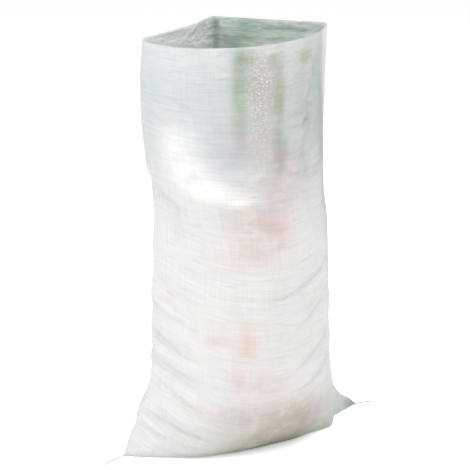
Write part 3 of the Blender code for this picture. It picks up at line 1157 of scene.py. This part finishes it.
    def flat_shape(self) -> np.ndarray:
        """The cloth as it is cut: a flat tube, its panels a hair apart.

        Returns:
            The points, by row and by grid line.
        """
        points = np.zeros((self.rows + 1, self.around, 3))
        for line in range(self.around):
            fold = self.fold(line)
            panel = Panel.FRONT if line <= self.across else Panel.BACK
            points[:, line, 0] = fold * self.pitch - self.flat_width / 2
            points[1:, line, 1] = panel.value * 0.001 * min(1, fold, self.across - fold)
            points[:, line, 2] = np.arange(self.rows + 1) * self.pitch
        return points

    def vertex(self, row: int, line: int) -> int:
        """The number of the mesh vertex at a row and grid line."""
        line %= self.around
        if row == 0:
            return self.fold(line)
        return self.across + 1 + (row - 1) * self.around + line

    def listed(self, points: np.ndarray) -> np.ndarray:
        """Points by row and grid line as the mesh's vertex list."""
        return np.concatenate([points[0, : self.across + 1], points[1:].reshape(-1, 3)])

    def tube(self, points: np.ndarray) -> bpy.types.Object:
        """Makes the cloth's mesh, with a UV map in metres of cloth.

        Args:
            points: The points, by row and by grid line.

        Returns:
            The object.
        """
        faces, uvs = [], []
        for row in range(self.rows):
            for line in range(self.around):
                corners = ((row, line), (row, line + 1), (row + 1, line + 1), (row + 1, line))
                faces.append([self.vertex(*corner) for corner in corners])
                uvs.extend((along * self.pitch, up * self.pitch) for up, along in corners)
        mesh = bpy.data.meshes.new("woven_cloth_sack")
        mesh.from_pydata([tuple(point) for point in self.listed(points)], [], faces)
        layer = mesh.uv_layers.new(name="cloth")
        layer.data.foreach_set("uv", np.array(uvs, np.float32).ravel())
        sack = bpy.data.objects.new("woven_cloth_sack", mesh)
        bpy.context.scene.collection.objects.link(sack)
        return sack

    def hold(self, sack: bpy.types.Object, start: np.ndarray) -> str:
        """Holds the seam, the underside and the mouth still, and the rest loosely, as it settles.

        Args:
            sack: The cloth's object.
            start: Its starting points, by row and by grid line.

        Returns:
            The name of the vertex group.
        """
        held = sack.vertex_groups.new(name="held")
        for row in range(self.rows + 1):
            for line in range(self.around):
                place = start[row, line]
                fold = min(self.fold(line), self.across - self.fold(line))
                under = place[2] < 0.003 and abs(place[0]) < 0.15 and abs(place[1]) < 0.075
                grip = 0.25 + 0.5 * (1.0 - float(ease(place[2] / 0.05)))
                grip += 0.25 * math.exp(-((fold / 3) ** 2)) * (1.0 - float(ease(place[2] / 0.4)))
                fixed = row in (0, self.rows) or under
                held.add([self.vertex(row, line)], 1.0 if fixed else grip, "REPLACE")
        return held.name

    def drape(self, sack: bpy.types.Object, start: np.ndarray, collider: bpy.types.Object) -> np.ndarray:
        """Simulates the cloth round the rubble.

        Args:
            sack: The cloth's object, in its starting shape.
            start: Its starting points, by row and by grid line.
            collider: What the cloth lies against.

        Returns:
            The settled points, in the mesh's order.
        """
        sack.shape_key_add(name="start")
        flat = sack.shape_key_add(name="flat")
        flat.data.foreach_set("co", self.listed(self.flat_shape()).astype(np.float32).ravel())
        flat.value = 0.0
        cloth = sack.modifiers.new("drape", "CLOTH")
        settings = cloth.settings
        settings.quality = 8
        settings.mass = 0.002
        settings.air_damping = 4.0
        settings.tension_stiffness = 200.0
        settings.compression_stiffness = 200.0
        settings.shear_stiffness = 50.0
        settings.bending_stiffness = 0.1
        settings.tension_damping = 10.0
        settings.compression_damping = 10.0
        settings.shear_damping = 10.0
        settings.vertex_group_mass = self.hold(sack, start)
        settings.pin_stiffness = 50.0
        settings.rest_shape_key = flat
        cloth.collision_settings.distance_min = 0.001
        cloth.collision_settings.collision_quality = 3
        cloth.point_cache.frame_start = 1
        cloth.point_cache.frame_end = self.frames + 1
        scene = bpy.context.scene
        for number in range(1, self.frames + 1):
            scene.frame_set(number)
        settled = sack.evaluated_get(bpy.context.evaluated_depsgraph_get()).data
        points = np.zeros(len(settled.vertices) * 3, np.float32)
        settled.vertices.foreach_get("co", points)
        scene.frame_set(1)
        bpy.data.objects.remove(collider)
        sack.modifiers.clear()
        sack.shape_key_clear()
        return points

    def press_creases(self, sack: bpy.types.Object) -> None:
        """Presses the photo's creases and folds into the settled cloth."""
        points = np.zeros(len(sack.data.vertices) * 3)
        sack.data.vertices.foreach_get("co", points)
        points = points.reshape(-1, 3)
        turn = np.arctan2(points[:, 1], points[:, 0])
        depth = sum(crease.offset(turn, points[:, 2]) for crease in CREASES)
        depth = depth * ease((points[:, 2] - 0.002) / 0.012) * (1.0 - ease((points[:, 2] - 0.78) / 0.03))
        points[:, 0] += depth * np.cos(turn)
        points[:, 1] += depth * np.sin(turn)
        sack.data.vertices.foreach_set("co", points.ravel())
        sack.data.update()

    def dirt_and_light(self, sack: bpy.types.Object) -> None:
        """Paints dust and dirt, painted shade in the creases, and the patch list's painted shade, highlights and
        reflections as a colour for each vertex, apart on the outside and the inside.

        Args:
            sack: The cloth with its thickness; its first half of vertices is the outside.
        """
        mesh = sack.data
        count = len(mesh.vertices)
        points = np.zeros(count * 3)
        mesh.vertices.foreach_get("co", points)
        points = points.reshape(-1, 3)
        patchy = np.array([0.85 + 0.9 * noise.noise(v.co * 30.0) + 0.7 * noise.noise(v.co * 90.0)
                           for v in mesh.vertices])
        turn = np.arctan2(points[:, 1], points[:, 0])
        inner = np.arange(count) >= count // 2
        colours = np.ones((count, 4), np.float32)
        # Painted shade in the grooves: each sunken crease darkens the outside cloth by its share of the groove.
        for crease in CREASES:
            crease_shade = crease.offset(turn, points[:, 2]) / crease.depth
            if crease.depth < 0:
                colours[:, :3] *= 1.0 - (crease_shade * ~inner)[:, None] * (1.0 - np.array(PAINTED_CREASE_SHADE))
        for dirt_and_light in DIRT_AND_LIGHT_PATCHES:
            share = dirt_and_light.share(turn, points[:, 2], patchy) * (inner == dirt_and_light.inside)
            colours[:, :3] *= 1.0 - share[:, None] * (1.0 - np.array(dirt_and_light.tint))
            colours[:, 3] *= 1.0 - share * dirt_and_light.specks
        layer = mesh.attributes.new("dirt_and_light_tint", "FLOAT_COLOR", "POINT")
        layer.data.foreach_set("color", colours.ravel())

    def sharpen_folds(self, sack: bpy.types.Object) -> None:
        """Keeps the seam, the ear tips, the side folds and the back crease crisp."""
        mesh = sack.data
        sharp = mesh.attributes.new("crease_edge", "FLOAT", "EDGE")
        tips = mesh.attributes.new("crease_vert", "FLOAT", "POINT")
        for line in (0, self.across):
            tips.data[self.vertex(0, line)].value = 1.0
        lines = (0, self.across, self.back_line)
        on_fold = {self.vertex(row, line) for line in lines for row in range(58, self.rows + 1)}
        for number, edge in enumerate(mesh.edges):
            a, b = edge.vertices
            if max(a, b) <= self.across:
                sharp.data[number].value = 1.0
            elif a in on_fold and b in on_fold and abs(a - b) == self.around:
                sharp.data[number].value = 0.8

    def build(self, fill: RubbleFill) -> bpy.types.Object:
        """Builds and dresses the whole sack.

        Args:
            fill: The rubble that it stands round.

        Returns:
            The piece.
        """
        start = self.start_shape()
        sack = self.tube(start)
        points = self.drape(sack, start, fill.collider())
        sack.data.vertices.foreach_set("co", points)
        sack.data.update()
        self.sharpen_folds(sack)
        finish_with(sack, "SUBSURF", levels=1)
        self.press_creases(sack)
        fill.tuck(sack)
        finish_with(sack, "SOLIDIFY", thickness=self.cloth, offset=-1.0)
        self.dirt_and_light(sack)
        activate(sack)
        bpy.ops.object.shade_smooth()
        sack.data.materials.append(WovenTape().material())
        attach(sack, "root")
        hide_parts("woven_sack")
        return sack


def main() -> None:
    """Builds every part of the picture in order."""
    studio = Studio()
    studio.place_camera()
    log.info("thread ends: %d", len(SewingThread().build()))
    fill = RubbleFill()
    log.info("rubble pieces: %d", len(fill.build()))
    sack = WovenSack().build(fill)
    log.info("cloth faces: %d", len(sack.data.polygons))
    studio.lay_floor()
    studio.light()


if __name__ == "__main__":
    logging.basicConfig(level=logging.INFO, format="%(asctime)s %(message)s")
    main()
    bpy.context.view_layer.update()
